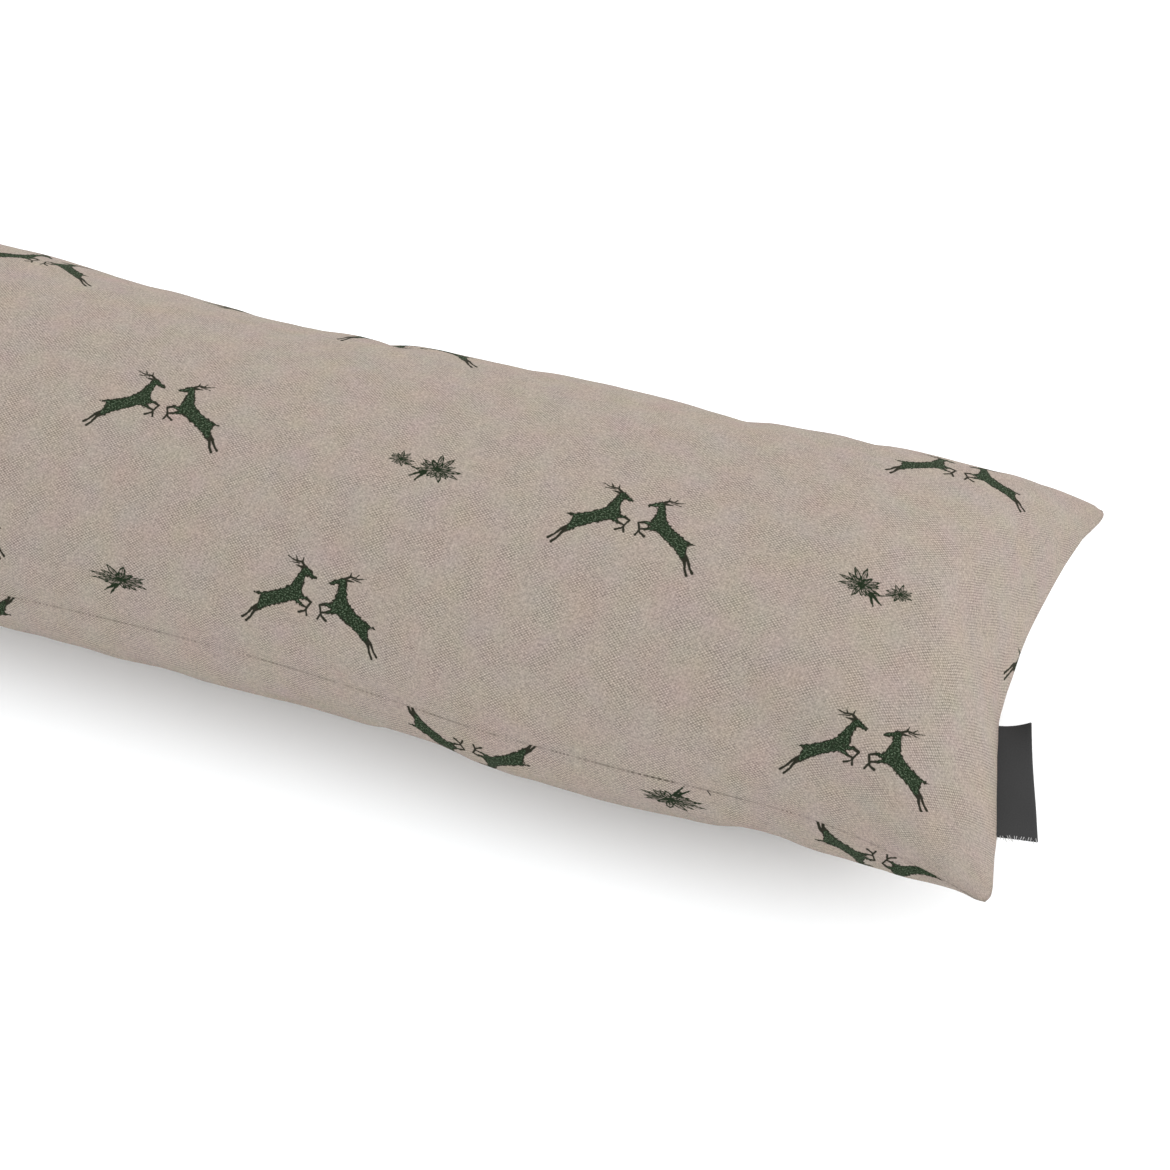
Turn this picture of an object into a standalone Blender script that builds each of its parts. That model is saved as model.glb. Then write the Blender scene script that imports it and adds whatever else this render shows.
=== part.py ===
"""Draught excluder: a long cloth bolster, filled plump, with a folded label in one end seam.

Two rectangular panels are sewn together all round and stuffed. The bolster lies on a floor
along X, with the label at its +X end and its seams level, half way up its sides. The origin
is on the floor, under the middle of the whole. Units are metres and +Z is up.
"""
import bpy
from collections import namedtuple
from math import cos, exp, hypot, pi, radians, sin

# The bolster as filled: the flat bag measures 0.90 by 0.20.
LENGTH = 0.884              # between the corner tips, along X
CORNER_SPAN = 0.174         # an end seam, from corner to corner
BODY_WIDTH = 0.140          # across the middle, from seam to seam
BODY_DEPTH = 0.111          # the round section before the floor presses it flat
FLARE_LENGTH = 0.085        # over this length the sides draw in from the corners
FOOT_PRESS = 0.004          # how far the floor presses the underside flat
FOOT_BLEND = 0.005          # height over which the foot rounds up into the side

# An end: the filling lifts the panels from the flat seam up to the full section.
END_RISE = 0.074            # length of the rise
END_BLUNTNESS = 2.3         # 2 is a quarter of an ellipse, more is blunter
END_DRAW = 0.014            # the middle of the seam is drawn in behind its corners
END_DRAW_FADE = 0.16        # where the drawn-in seam has no more effect
END_DRAW_SHAPE = 1.35       # 1 is a parabola, more is narrower
END_DRAW_SKEW = 0.5         # the label end is drawn in more towards its back corner
END_SLANT = 0.03            # and it runs this much out of square, its front corner foremost
EAR_REACH = 0.030           # the corners are thin ears as far as this from their tips
EAR_THINNING = 0.55         # share of the thickness that the ears lose at their tips

# The grid of the two panels.
RISE_STEPS = 8
MIDDLE_STEPS = 26
ACROSS_STEPS = 20

# Uneven filling: soft hollows (negative) and swells in the round of the section. The angle
# runs over the section from the front seam (-90) by the top (0) to the back seam (90), and on
# under the bolster to the front again.
Lump = namedtuple("Lump", "x angle length spread height")
LUMPS = (
    Lump(x=0.160, angle=60, length=0.036, spread=46, height=-0.0034),
    Lump(x=0.175, angle=50, length=0.095, spread=50, height=-0.0010),
    Lump(x=0.052, angle=62, length=0.045, spread=46, height=0.0013),
    Lump(x=0.279, angle=58, length=0.030, spread=44, height=0.0014),
    Lump(x=0.405, angle=72, length=0.035, spread=40, height=0.0036),
    Lump(x=0.400, angle=-112, length=0.040, spread=42, height=-0.0010),
    Lump(x=0.304, angle=-118, length=0.036, spread=44, height=0.0026),
    Lump(x=0.250, angle=-120, length=0.024, spread=40, height=-0.0022),
    Lump(x=0.138, angle=-118, length=0.034, spread=42, height=-0.0012),
    Lump(x=0.240, angle=-25, length=0.080, spread=48, height=0.0014),
    Lump(x=-0.060, angle=-70, length=0.070, spread=45, height=-0.0022),
    Lump(x=-0.170, angle=45, length=0.060, spread=48, height=-0.0026),
    Lump(x=-0.260, angle=-60, length=0.055, spread=45, height=0.0020),
    Lump(x=-0.340, angle=65, length=0.050, spread=42, height=-0.0018),
)

# The label: a woven ribbon folded in two, its cut ends held in the end seam.
LABEL_MIDDLE = -0.034       # its middle, along the end seam (Y)
LABEL_LENGTH = 0.052        # along the seam
LABEL_REACH = 0.0125        # from the seam to the fold, at its middle
LABEL_SPREAD = 0.0030       # the front end reaches this much further out than the back end
LABEL_TURN = radians(13)    # square to the seam where it is sewn in
LABEL_LAYER = 0.001         # thickness of one layer
LABEL_PARTING = 0.0005      # air between the two layers
LABEL_LIFT = 0.0030         # the fold's back end curls up this much
SEAM_GAP = 0.0003           # clearance between the label and the seam
LABEL_STEPS = 10
FOLD_STEPS = 6

COVER_COLOUR = (0.40, 0.34, 0.28)
LABEL_COLOUR = (0.045, 0.045, 0.048)
CLOTH_ROUGHNESS = 0.9
SHARP_ANGLE = radians(40)


def clear_scene():
    """Remove every object of the open file."""
    for thing in list(bpy.data.objects):
        bpy.data.objects.remove(thing, do_unlink=True)


def cloth_material(name, colour):
    """A plain matt Principled BSDF."""
    material = bpy.data.materials.new(name)
    material.use_nodes = True
    shader = material.node_tree.nodes["Principled BSDF"]
    shader.inputs["Base Color"].default_value = (*colour, 1.0)
    shader.inputs["Roughness"].default_value = CLOTH_ROUGHNESS
    shader.inputs["Metallic"].default_value = 0.0
    return material


def add_body(name, points, faces, material):
    """One named object from points and faces, shaded smooth but for its sharp edges."""
    mesh = bpy.data.meshes.new(name)
    mesh.from_pydata(points, [], faces)
    mesh.materials.append(material)
    mesh.shade_smooth()
    mesh.set_sharp_from_angle(angle=SHARP_ANGLE)
    body = bpy.data.objects.new(name, mesh)
    bpy.context.collection.objects.link(body)
    return body


def end_draw(end, across):
    """How far an end seam lies behind its corner tips at a place across it, from -1 to 1."""
    drawn = END_DRAW * (1 - across ** 2) ** END_DRAW_SHAPE
    if end < 0:
        return drawn
    return drawn * (1 + END_DRAW_SKEW * across) + END_SLANT * CORNER_SPAN / 2 * (1 + across)


def half_width(inset):
    """Half the width from seam to seam, at a distance from the corner tips."""
    flare = max(0.0, 1 - inset / FLARE_LENGTH)
    return BODY_WIDTH / 2 + (CORNER_SPAN - BODY_WIDTH) / 2 * flare ** 2


def rise(inset):
    """Share of the full thickness at a distance from the end seam."""
    left = max(0.0, 1 - inset / END_RISE)
    return (1 - left ** END_BLUNTNESS) ** (1 / END_BLUNTNESS)


def lumpiness(x, angle):
    """How far the uneven filling swells the section at a place along and round it."""
    swell = 0.0
    for lump in LUMPS:
        turn = (angle - lump.angle + 180) % 360 - 180
        swell += lump.height * exp(-((x - lump.x) / lump.length) ** 2 - (turn / lump.spread) ** 2)
    return swell


def press(height):
    """Height above the floor once the underside is pressed flat and rounded up to the side."""
    if height <= 0:
        return 0.0
    if height < FOOT_BLEND:
        return height ** 2 / (2 * FOOT_BLEND)
    return height - FOOT_BLEND / 2


def seam_height():
    """Height of the seams above the floor."""
    return press(BODY_DEPTH / 2 - FOOT_PRESS)


def end_insets():
    """Distances of the grid's stations from the end seam, closer together where it is steep."""
    return [END_RISE * (1 - cos(pi / 2 * step / RISE_STEPS)) for step in range(RISE_STEPS + 1)]


def stations():
    """The grid's stations along the bolster: the end that each belongs to, and its inset."""
    insets = end_insets()
    right = [(1, inset) for inset in insets]
    middle_length = LENGTH - 2 * END_RISE
    middle = []
    for step in range(1, MIDDLE_STEPS):
        run = END_RISE + middle_length * step / MIDDLE_STEPS
        middle.append((1, run) if run <= LENGTH / 2 else (-1, LENGTH - run))
    left = [(-1, inset) for inset in reversed(insets)]
    return right + middle + left


def cover_point(end, inset, turn, side):
    """A point of the cover: turn runs from -1 (front seam) to 1 (back seam), side is 1 or -1."""
    across = sin(turn * pi / 2)
    up = cos(turn * pi / 2)
    thickness = rise(inset)
    fade = max(0.0, 1 - inset / END_DRAW_FADE) ** 2
    x = end * (LENGTH / 2 - inset - end_draw(end, across) * fade)
    y = half_width(inset) * across
    z = side * BODY_DEPTH / 2 * thickness * up
    tip = hypot(inset, half_width(inset) - abs(y))
    z *= 1 - EAR_THINNING * exp(-(tip / EAR_REACH) ** 2)
    angle = turn * 90 if side > 0 else 180 - turn * 90
    swell = lumpiness(x, angle) * thickness
    y += swell * across
    z += swell * up * side
    return (x, y, press(z + BODY_DEPTH / 2 - FOOT_PRESS))


def make_cover(material):
    """The filled cover: an upper and a lower panel that share their edges all round."""
    rows = stations()
    turns = [-1 + 2 * step / ACROSS_STEPS for step in range(ACROSS_STEPS + 1)]
    last_row = len(rows) - 1
    points = []
    index = {}
    for side in (1, -1):
        for row, (end, inset) in enumerate(rows):
            for column, turn in enumerate(turns):
                on_seam = row in (0, last_row) or column in (0, ACROSS_STEPS)
                if side < 0 and on_seam:
                    index[side, row, column] = index[1, row, column]
                    continue
                index[side, row, column] = len(points)
                points.append(cover_point(end, inset, turn, side))
    faces = []
    for side in (1, -1):
        for row in range(last_row):
            for column in range(ACROSS_STEPS):
                corners = [(row, column), (row, column + 1), (row + 1, column + 1), (row + 1, column)]
                if side < 0:
                    corners.reverse()
                faces.append([index[(side, *corner)] for corner in corners])
    return add_body("bolster", points, faces, material)


def label_section(reach):
    """The folded ribbon's middle line, from one cut end round the fold to the other."""
    radius = (LABEL_LAYER + LABEL_PARTING) / 2
    straight = reach - radius - LABEL_LAYER / 2
    line = [(0.0, radius, 0.0, 1.0)]
    for step in range(FOLD_STEPS + 1):
        angle = pi * step / FOLD_STEPS
        out = sin(angle)
        up = cos(angle)
        line.append((straight + radius * out, radius * up, out, up))
    line.append((0.0, -radius, 0.0, -1.0))
    return line


def make_label(material):
    """The label: the folded section swept along the end seam, clear of it by the seam gap."""
    out_x, out_y = cos(LABEL_TURN), sin(LABEL_TURN)
    middle_x = LENGTH / 2 - end_draw(1, LABEL_MIDDLE / (CORNER_SPAN / 2))
    points = []
    for step in range(LABEL_STEPS + 1):
        along = step / LABEL_STEPS
        y = LABEL_MIDDLE + LABEL_LENGTH * (along - 0.5) * cos(LABEL_TURN)
        x = LENGTH / 2 - end_draw(1, y / (CORNER_SPAN / 2))
        seam_out = (x - middle_x) * out_x + (y - LABEL_MIDDLE) * out_y
        reach = LABEL_REACH + LABEL_SPREAD * (0.5 - along) - seam_out
        for run, height, normal_out, normal_up in label_section(reach):
            for offset in (LABEL_LAYER / 2, -LABEL_LAYER / 2):
                out = run + normal_out * offset + SEAM_GAP
                lift = LABEL_LIFT * along * (out / LABEL_REACH) ** 2
                points.append((x + out * out_x, y + out * out_y,
                               seam_height() + height + normal_up * offset + lift))
    ring = len(label_section(LABEL_REACH))
    faces = []

    def corner(step, place, inner):
        return (step * ring + place) * 2 + inner

    for step in range(LABEL_STEPS):
        for place in range(ring - 1):
            outer = [corner(step, place, 0), corner(step, place + 1, 0),
                     corner(step + 1, place + 1, 0), corner(step + 1, place, 0)]
            inner = [corner(step, place, 1), corner(step + 1, place, 1),
                     corner(step + 1, place + 1, 1), corner(step, place + 1, 1)]
            faces += [outer, inner]
        for place in (0, ring - 1):
            cut_end = [corner(step, place, 0), corner(step + 1, place, 0),
                       corner(step + 1, place, 1), corner(step, place, 1)]
            faces.append(cut_end if place == 0 else cut_end[::-1])
    for place in range(ring - 1):
        cap = [corner(0, place, 0), corner(0, place, 1), corner(0, place + 1, 1), corner(0, place + 1, 0)]
        far_cap = [corner(LABEL_STEPS, place, 0), corner(LABEL_STEPS, place + 1, 0),
                   corner(LABEL_STEPS, place + 1, 1), corner(LABEL_STEPS, place, 1)]
        faces += [cap, far_cap]
    return add_body("seam_label", points, faces, material)


def centre_on_floor(bodies):
    """Slide the whole in its plane until its box is centred over the origin."""
    places = [vertex.co for body in bodies for vertex in body.data.vertices]
    shift = [-(min(co[axis] for co in places) + max(co[axis] for co in places)) / 2 for axis in (0, 1)]
    for place in places:
        place.x += shift[0]
        place.y += shift[1]


clear_scene()
cover = make_cover(cloth_material("cover cloth", COVER_COLOUR))
label = make_label(cloth_material("label ribbon", LABEL_COLOUR))
centre_on_floor([cover, label])
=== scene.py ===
from collections import namedtuple
from math import pi, radians, sin

import bmesh
import bpy
import numpy as np
from mathutils import Matrix, Vector


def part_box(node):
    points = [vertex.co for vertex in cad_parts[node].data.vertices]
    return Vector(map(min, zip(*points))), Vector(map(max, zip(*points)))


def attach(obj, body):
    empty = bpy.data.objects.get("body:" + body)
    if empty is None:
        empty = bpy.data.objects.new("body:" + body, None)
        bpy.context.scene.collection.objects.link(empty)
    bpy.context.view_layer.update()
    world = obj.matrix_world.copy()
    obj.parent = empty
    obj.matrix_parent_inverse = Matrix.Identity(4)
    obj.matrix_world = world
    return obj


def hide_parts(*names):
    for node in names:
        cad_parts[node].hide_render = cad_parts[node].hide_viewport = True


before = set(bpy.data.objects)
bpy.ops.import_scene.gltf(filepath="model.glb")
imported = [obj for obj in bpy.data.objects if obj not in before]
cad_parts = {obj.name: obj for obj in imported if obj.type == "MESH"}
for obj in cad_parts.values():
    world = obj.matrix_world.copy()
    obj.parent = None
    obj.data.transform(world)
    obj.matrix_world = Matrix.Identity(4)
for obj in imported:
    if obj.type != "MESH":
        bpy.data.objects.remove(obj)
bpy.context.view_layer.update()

# ----------------------------------------
# The room. A white floor without an edge, and soft daylight from all round that is strongest
# from above and behind, so that the side turned to the camera is the darkest one.
# ----------------------------------------
FLOOR_SIZE = 30.0
FLOOR_COLOUR = (0.930, 0.950, 0.965, 1.0)
FLOOR_ROUGHNESS = 0.9
FLOOR_PAINTED_GLOW = 0.07           # painted glow: the floor gives off a little light of its own, which lightens the shadows on it
DAYLIGHT_COLOUR = (1.0, 1.0, 1.0, 1.0)
DAYLIGHT_STRENGTH = 1.45

bpy.ops.object.select_all(action="DESELECT")
bpy.ops.mesh.primitive_plane_add(size=FLOOR_SIZE)
floor = bpy.context.object
floor.name = "floor"
floor_finish = bpy.data.materials.new("white floor")
floor_finish.use_nodes = True
floor_shader = floor_finish.node_tree.nodes["Principled BSDF"]
floor_shader.inputs["Base Color"].default_value = FLOOR_COLOUR
floor_shader.inputs["Roughness"].default_value = FLOOR_ROUGHNESS
# The floor's painted glow, in its own colour, lightens the shadows on it.
floor_shader.inputs["Emission Color"].default_value = FLOOR_COLOUR
floor_shader.inputs["Emission Strength"].default_value = FLOOR_PAINTED_GLOW
floor.data.materials.append(floor_finish)

world = bpy.data.worlds.new("daylight")
bpy.context.scene.world = world
world.use_nodes = True
sky = world.node_tree.nodes["Background"]
sky.inputs["Color"].default_value = DAYLIGHT_COLOUR
sky.inputs["Strength"].default_value = DAYLIGHT_STRENGTH
bpy.context.scene.view_settings.view_transform = "Standard"

Softbox = namedtuple("Softbox", "name place aim width height power")
SOFTBOXES = (
    Softbox("back softbox", place=(0.4, 1.8, 1.7), aim=(0.2, 0.0, 0.0), width=2.2, height=1.4, power=9.0),
    Softbox("right softbox", place=(2.1, 0.3, 1.0), aim=(0.3, 0.0, 0.0), width=1.4, height=1.4, power=10.0),
)
for softbox in SOFTBOXES:
    light = bpy.data.lights.new(softbox.name, "AREA")
    light.shape = "RECTANGLE"
    light.size = softbox.width
    light.size_y = softbox.height
    light.energy = softbox.power
    lamp = bpy.data.objects.new(softbox.name, light)
    bpy.context.collection.objects.link(lamp)
    lamp.location = softbox.place
    reach = Vector(softbox.aim) - Vector(softbox.place)
    lamp.rotation_euler = reach.to_track_quat("-Z", "Y").to_euler()

# ----------------------------------------
# The camera looks down on the label end from the front right, a little out of level. The far
# end of the bolster runs out of the picture on the left.
# ----------------------------------------
CAMERA_AZIMUTH = radians(20.78)
CAMERA_ELEVATION = radians(46.41)
CAMERA_ROLL = radians(-1.19)
CAMERA_DISTANCE = 0.924
CAMERA_AIM = Vector((0.2795, -0.0026, 0.05))
CAMERA_LENS = 86.55         # millimetres
CAMERA_SENSOR = 36.0
CLIP_NEAR = 0.05
CLIP_FAR = 60.0

bpy.ops.object.select_all(action="DESELECT")
bpy.ops.object.camera_add()
camera = bpy.context.object
camera.name = "camera"
camera.data.sensor_width = CAMERA_SENSOR
camera.data.lens = CAMERA_LENS
camera.data.clip_start = CLIP_NEAR
camera.data.clip_end = CLIP_FAR
turned = Matrix.Rotation(CAMERA_AZIMUTH, 4, "Z") @ Matrix.Rotation(pi / 2 - CAMERA_ELEVATION, 4, "X")
turned = turned @ Matrix.Rotation(CAMERA_ROLL, 4, "Z")
place = CAMERA_AIM + turned @ Vector((0, 0, CAMERA_DISTANCE))
camera.matrix_world = Matrix.Translation(place) @ turned
bpy.context.scene.camera = camera

# ----------------------------------------
# The cover: two panels of printed cotton and linen, 90 by 20 cm, sewn together all round, turned
# and stuffed. Here the two flat panels are given the stuffed form, and a cloth simulation then
# draws them back to the size they were cut, which puts in the puckers along the seams.
# ----------------------------------------
bolster_low, bolster_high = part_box("bolster")
LENGTH = bolster_high.x - bolster_low.x             # between the corner tips
CORNER_SPAN = bolster_high.y - bolster_low.y        # an end seam, from corner to corner
MIDDLE_X = (bolster_low.x + bolster_high.x) / 2
MIDDLE_Y = (bolster_low.y + bolster_high.y) / 2
PANEL_LENGTH = 0.900        # of the cloth, from seam to seam
PANEL_WIDTH = 0.198
BODY_WIDTH = 0.140          # across the middle of the stuffed bolster
BODY_DEPTH = 0.111          # before the floor presses it
FLARE_LENGTH = 0.085        # over this length the sides draw in from the corners
FOOT_PRESS = 0.004          # how far the floor presses the underside flat
FOOT_BLEND = 0.005          # height over which the underside rounds up into the side
END_RISE = 0.074            # length over which the filling lifts the panels from the end seam
END_BLUNTNESS = 2.3         # how bluntly the rise meets the body: 2 is a quarter of an ellipse
END_EDGE = 1.5              # and how bluntly the panels leave the end seam itself
FAR_END_DRAW = 0.014        # the far end seam's middle lies this far behind its corners
FAR_END_DRAW_SHAPE = 1.35   # 1 is a parabola, more is narrower
END_DRAW_FADE = 0.16        # where the drawn-in seams have no more effect
EAR_REACH = 0.030           # the corners are thin ears as far as this from their tips
EAR_THINNING = 0.55         # share of the thickness that the ears lose at their tips
EAR_LIFT = 0.0030           # the label end's front corner is bent up by this much
EAR_LIFT_REACH = 0.045
BACK_EAR_THINNING = 0.10    # the label end's back corner is stuffed nearly to its tip
BACK_EAR_FLARE = 0.0034     # and is wider just behind it
BACK_EAR_FLARE_INSET = 0.014
BACK_EAR_FLARE_REACH = 0.011
ALONG_CELLS = 180           # cells of a panel's grid
ACROSS_CELLS = 44
SEAM_CROWDING = 0.35        # how much closer together the grid's lines are at the long seams
ANGLE_STEPS = 721           # steps in which the form's own curves are measured: round it,
RISE_STEPS = 200            # over an end's rise,
BODY_STEPS = 400            # and from there to the middle

# The label end's seam: millimetres that it lies behind its front corner, at places across it
# from the front corner (-1) to the back one (1).
SeamPlace = namedtuple("SeamPlace", "across behind")
LABEL_END_SEAM = (
    SeamPlace(across=-1.00, behind=0.0), SeamPlace(across=-0.92, behind=0.4),
    SeamPlace(across=-0.71, behind=3.8), SeamPlace(across=-0.48, behind=9.2),
    SeamPlace(across=-0.34, behind=12.0), SeamPlace(across=-0.18, behind=15.0),
    SeamPlace(across=0.00, behind=16.0), SeamPlace(across=0.20, behind=16.0),
    SeamPlace(across=0.40, behind=15.0), SeamPlace(across=0.56, behind=13.0),
    SeamPlace(across=0.70, behind=11.0), SeamPlace(across=0.80, behind=8.8),
    SeamPlace(across=0.86, behind=7.4), SeamPlace(across=0.92, behind=4.6),
    SeamPlace(across=1.00, behind=3.6),
)

# Uneven filling: soft hollows (negative) and swells in the round of the section. The angle runs
# in degrees from the front seam (-90) by the top (0) to the back seam (90), and on underneath.
# The four as long as the bolster make it bulge below its side seams and turn in sharply.
Lump = namedtuple("Lump", "x angle length spread height")
LUMPS = (
    Lump(x=0.156, angle=60, length=0.034, spread=46, height=-0.0034),
    Lump(x=0.092, angle=58, length=0.026, spread=44, height=-0.0015),
    Lump(x=0.338, angle=60, length=0.020, spread=42, height=0.0016),
    Lump(x=0.206, angle=-115, length=0.030, spread=42, height=-0.0010),
    Lump(x=0.325, angle=-112, length=0.032, spread=38, height=0.0013),
    Lump(x=0.205, angle=62, length=0.220, spread=42, height=0.0008),
    Lump(x=0.424, angle=-105, length=0.016, spread=40, height=0.0026),
    Lump(x=0.175, angle=50, length=0.095, spread=50, height=-0.0010),
    Lump(x=0.052, angle=62, length=0.045, spread=46, height=0.0013),
    Lump(x=0.279, angle=58, length=0.030, spread=44, height=0.0014),
    Lump(x=0.405, angle=72, length=0.035, spread=40, height=0.0036),
    Lump(x=0.400, angle=-112, length=0.040, spread=42, height=-0.0010),
    Lump(x=0.304, angle=-118, length=0.036, spread=44, height=0.0026),
    Lump(x=0.250, angle=-120, length=0.024, spread=40, height=-0.0014),
    Lump(x=0.272, angle=-110, length=0.022, spread=36, height=0.0016),
    Lump(x=0.138, angle=-118, length=0.034, spread=42, height=-0.0003),
    Lump(x=0.240, angle=-25, length=0.080, spread=48, height=0.0014),
    Lump(x=0.000, angle=-107, length=0.900, spread=15, height=0.0032),
    Lump(x=0.000, angle=-135, length=0.900, spread=18, height=-0.0060),
    Lump(x=0.000, angle=105, length=0.900, spread=15, height=0.0015),
    Lump(x=0.000, angle=133, length=0.900, spread=18, height=-0.0035),
    Lump(x=-0.060, angle=-70, length=0.070, spread=45, height=-0.0022),
    Lump(x=-0.170, angle=45, length=0.060, spread=48, height=-0.0026),
    Lump(x=-0.260, angle=-60, length=0.055, spread=45, height=0.0020),
    Lump(x=-0.340, angle=65, length=0.050, spread=42, height=-0.0018),
)

# Where the front seam has crept round the section, upward by so many degrees.
Creep = namedtuple("Creep", "x length degrees")
SEAM_CREEPS = (
    Creep(x=0.165, length=0.070, degrees=3.0),
    Creep(x=0.235, length=0.130, degrees=1.5),
    Creep(x=0.250, length=0.030, degrees=-1.2),
    Creep(x=0.390, length=0.045, degrees=-1.2),
    Creep(x=0.430, length=0.018, degrees=2.0),
    Creep(x=-0.210, length=0.090, degrees=-2.5),
)
CREEP_FADE = 0.010          # it fades out this near the end seams, where the panels' corners meet


def press(height):
    """Height above the floor once the underside is pressed flat and rounded up to the side."""
    blended = np.where(height < FOOT_BLEND, height ** 2 / (2 * FOOT_BLEND), height - FOOT_BLEND / 2)
    return np.where(height <= 0, 0.0, blended)


def end_draw(end, across):
    """How far an end seam lies behind its corner tips at a place across it, from -1 to 1."""
    even = FAR_END_DRAW * (1 - np.clip(across, -1, 1) ** 2) ** FAR_END_DRAW_SHAPE
    places = [place.across for place in LABEL_END_SEAM]
    uneven = np.interp(across, places, [place.behind for place in LABEL_END_SEAM]) / 1000
    return np.where(end < 0, even, uneven)


def stuffed(end, inset, angle, side):
    """Points of the stuffed form: inset from the corner tips, angle from -pi/2 to pi/2 across."""
    creep = np.zeros_like(inset)
    for seam in SEAM_CREEPS:
        creep += radians(seam.degrees) * np.exp(-((end * (LENGTH / 2 - inset) - seam.x) / seam.length) ** 2)
    creep *= 1 - np.exp(-(inset / CREEP_FADE) ** 2)
    angle = angle + side * creep * (1 - np.sin(angle)) / 2
    across, up = np.sin(angle), np.cos(angle)
    left = np.maximum(0, 1 - inset / END_RISE)
    thickness = (1 - left ** END_BLUNTNESS) ** (1 / END_EDGE)
    flare = np.maximum(0, 1 - inset / FLARE_LENGTH)
    half_width = BODY_WIDTH / 2 + (CORNER_SPAN - BODY_WIDTH) / 2 * flare ** 2
    back_corner = (end > 0) & (angle > 0)
    wider = np.exp(-((inset - BACK_EAR_FLARE_INSET) / BACK_EAR_FLARE_REACH) ** 2)
    half_width = half_width + BACK_EAR_FLARE * back_corner * wider * across ** 2
    fade = np.maximum(0, 1 - inset / END_DRAW_FADE) ** 2
    x = end * (LENGTH / 2 - inset - end_draw(end, across) * fade)
    y = half_width * across
    tip = np.hypot(inset, half_width - np.abs(y))
    thinning = np.where(back_corner, BACK_EAR_THINNING, EAR_THINNING) * np.exp(-(tip / EAR_REACH) ** 2)
    z = side * BODY_DEPTH / 2 * thickness * up * (1 - thinning)
    round_angle = np.degrees(angle) if side > 0 else 180 - np.degrees(angle)
    swell = np.zeros_like(x)
    for lump in LUMPS:
        turn = (round_angle - lump.angle + 180) % 360 - 180
        swell += lump.height * np.exp(-((x - lump.x) / lump.length) ** 2 - (turn / lump.spread) ** 2)
    y += swell * thickness * across
    z += swell * thickness * up * side
    z = press(z + BODY_DEPTH / 2 - FOOT_PRESS)
    to_ear = np.hypot(x - LENGTH / 2, y + CORNER_SPAN / 2)
    z += EAR_LIFT * np.exp(-(to_ear / EAR_LIFT_REACH) ** 2)
    return np.stack([x + MIDDLE_X, y + MIDDLE_Y, z], axis=-1)


def stuffed_panel(flat, side):
    """The stuffed form of a panel's points, which keep their distances along lengthwise threads."""
    angles = np.linspace(-pi / 2, pi / 2, ANGLE_STEPS)
    steps = np.hypot(np.diff(BODY_WIDTH / 2 * np.sin(angles)), np.diff(BODY_DEPTH / 2 * np.cos(angles)))
    girth = np.concatenate([[0], np.cumsum(steps)])
    girth = (girth / girth[-1] - 0.5) * PANEL_WIDTH
    angle = np.interp(flat[:, 1], girth, angles)
    end = np.where(flat[:, 0] < 0, -1, 1)
    from_end = 1 - np.abs(flat[:, 0]) / (PANEL_LENGTH / 2)
    curved = END_RISE * (1 - np.cos(np.linspace(0, pi / 2, RISE_STEPS)))
    insets = np.concatenate([curved, np.linspace(END_RISE, LENGTH / 2, BODY_STEPS)[1:]])
    points = np.empty((len(flat), 3))
    threads = np.round(angle, 6)
    for thread in np.unique(threads):
        for which in (-1, 1):
            chosen = (threads == thread) & (end == which)
            ends = np.full_like(insets, which)
            line = stuffed(ends, insets, np.full_like(insets, thread), side)
            run = np.concatenate([[0], np.cumsum(np.linalg.norm(np.diff(line, axis=0), axis=1))])
            inset = np.interp(from_end[chosen] * run[-1], run, insets)
            points[chosen] = stuffed(end[chosen], inset, angle[chosen], side)
    return points


def read(collection, attribute, width):
    """An attribute of many elements as an array with a row for each."""
    values = np.empty(len(collection) * width)
    collection.foreach_get(attribute, values)
    return values.reshape(-1, width)


def joined(things):
    """Several objects made into one."""
    bpy.ops.object.select_all(action="DESELECT")
    for thing in things:
        thing.select_set(True)
    bpy.context.view_layer.objects.active = things[0]
    bpy.ops.object.join()
    return bpy.context.object


# How the print lies. The upper panel's places are its places on the printed cloth, but over its
# last stretch at the label end the print runs off the grain. The lower panel was cut end for
# end, a little slanting, and its print is a little longer and wider than the upper one's.
ASKEW_FROM = 0.377
ASKEW_SLOPE = -0.27
LOWER_CUT_ALONG = 0.4843    # where the middle of its front edge was cut from
LOWER_CUT_ACROSS = 0.0378
LOWER_SHARE_ALONG = 0.9735  # length of printed cloth for each length of the panel
LOWER_SHARE_ACROSS = 0.90
LOWER_SLANT = 0.20

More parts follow.
